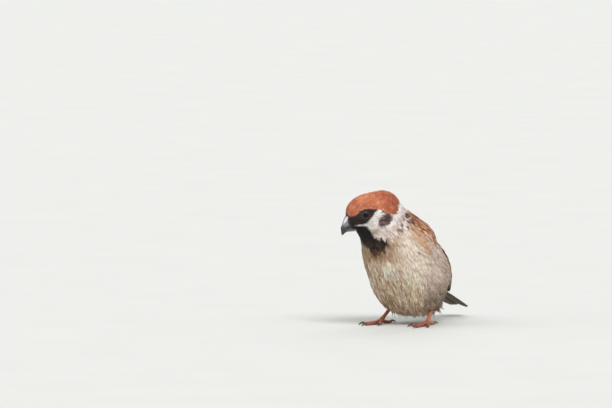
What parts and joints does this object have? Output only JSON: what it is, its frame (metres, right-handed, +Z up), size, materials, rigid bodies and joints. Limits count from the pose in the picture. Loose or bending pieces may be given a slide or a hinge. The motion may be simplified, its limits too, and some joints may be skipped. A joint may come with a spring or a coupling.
{
  "type": "eurasian tree sparrow",
  "caption": "Life-size standing tree sparrow, a still model with folded wings, head turned to its right and toes flat on the floor.",
  "frame": {"origin": "bottom centre of the whole bird's bounding box, on the floor it stands on", "axes": "+Z up, -Y where the breast faces, +Y towards the tail, +X to the bird's left"},
  "size_m": [0.0406, 0.0976, 0.0688],
  "materials": {
    "breast": "soft overlapping feathers",
    "collar": "soft white feathers",
    "crown": "short chestnut feathers",
    "wing": "firm brown flight feathers and coverts",
    "tail": "firm dark-brown feathers",
    "bill": "smooth horn, dark grey with a bluish sheen",
    "eye": "wet dark brown",
    "leg": "scaled pinkish-brown skin",
    "claw": "dark horn"
  },
  "bodies": {
    "root": {"bill_lower": "bill", "bill_upper": "bill", "eye_left": "eye", "eye_right": "eye", "head": "crown", "leg_left_claw_hind": "claw", "leg_left_claw_inner": "claw", "leg_left_claw_middle": "claw", "leg_left_claw_outer": "claw", "leg_left_tarsus": "leg", "leg_left_toe_hind": "leg", "leg_left_toe_inner": "leg", "leg_left_toe_middle": "leg", "leg_left_toe_outer": "leg", "leg_right_claw_hind": "claw", "leg_right_claw_inner": "claw", "leg_right_claw_middle": "claw", "leg_right_claw_outer": "claw", "leg_right_tarsus": "leg", "leg_right_toe_hind": "leg", "leg_right_toe_inner": "leg", "leg_right_toe_middle": "leg", "leg_right_toe_outer": "leg", "neck": "collar", "tail": "tail", "trunk": "breast", "wing_left": "wing", "wing_right": "wing"}
  },
  "joints": []
}
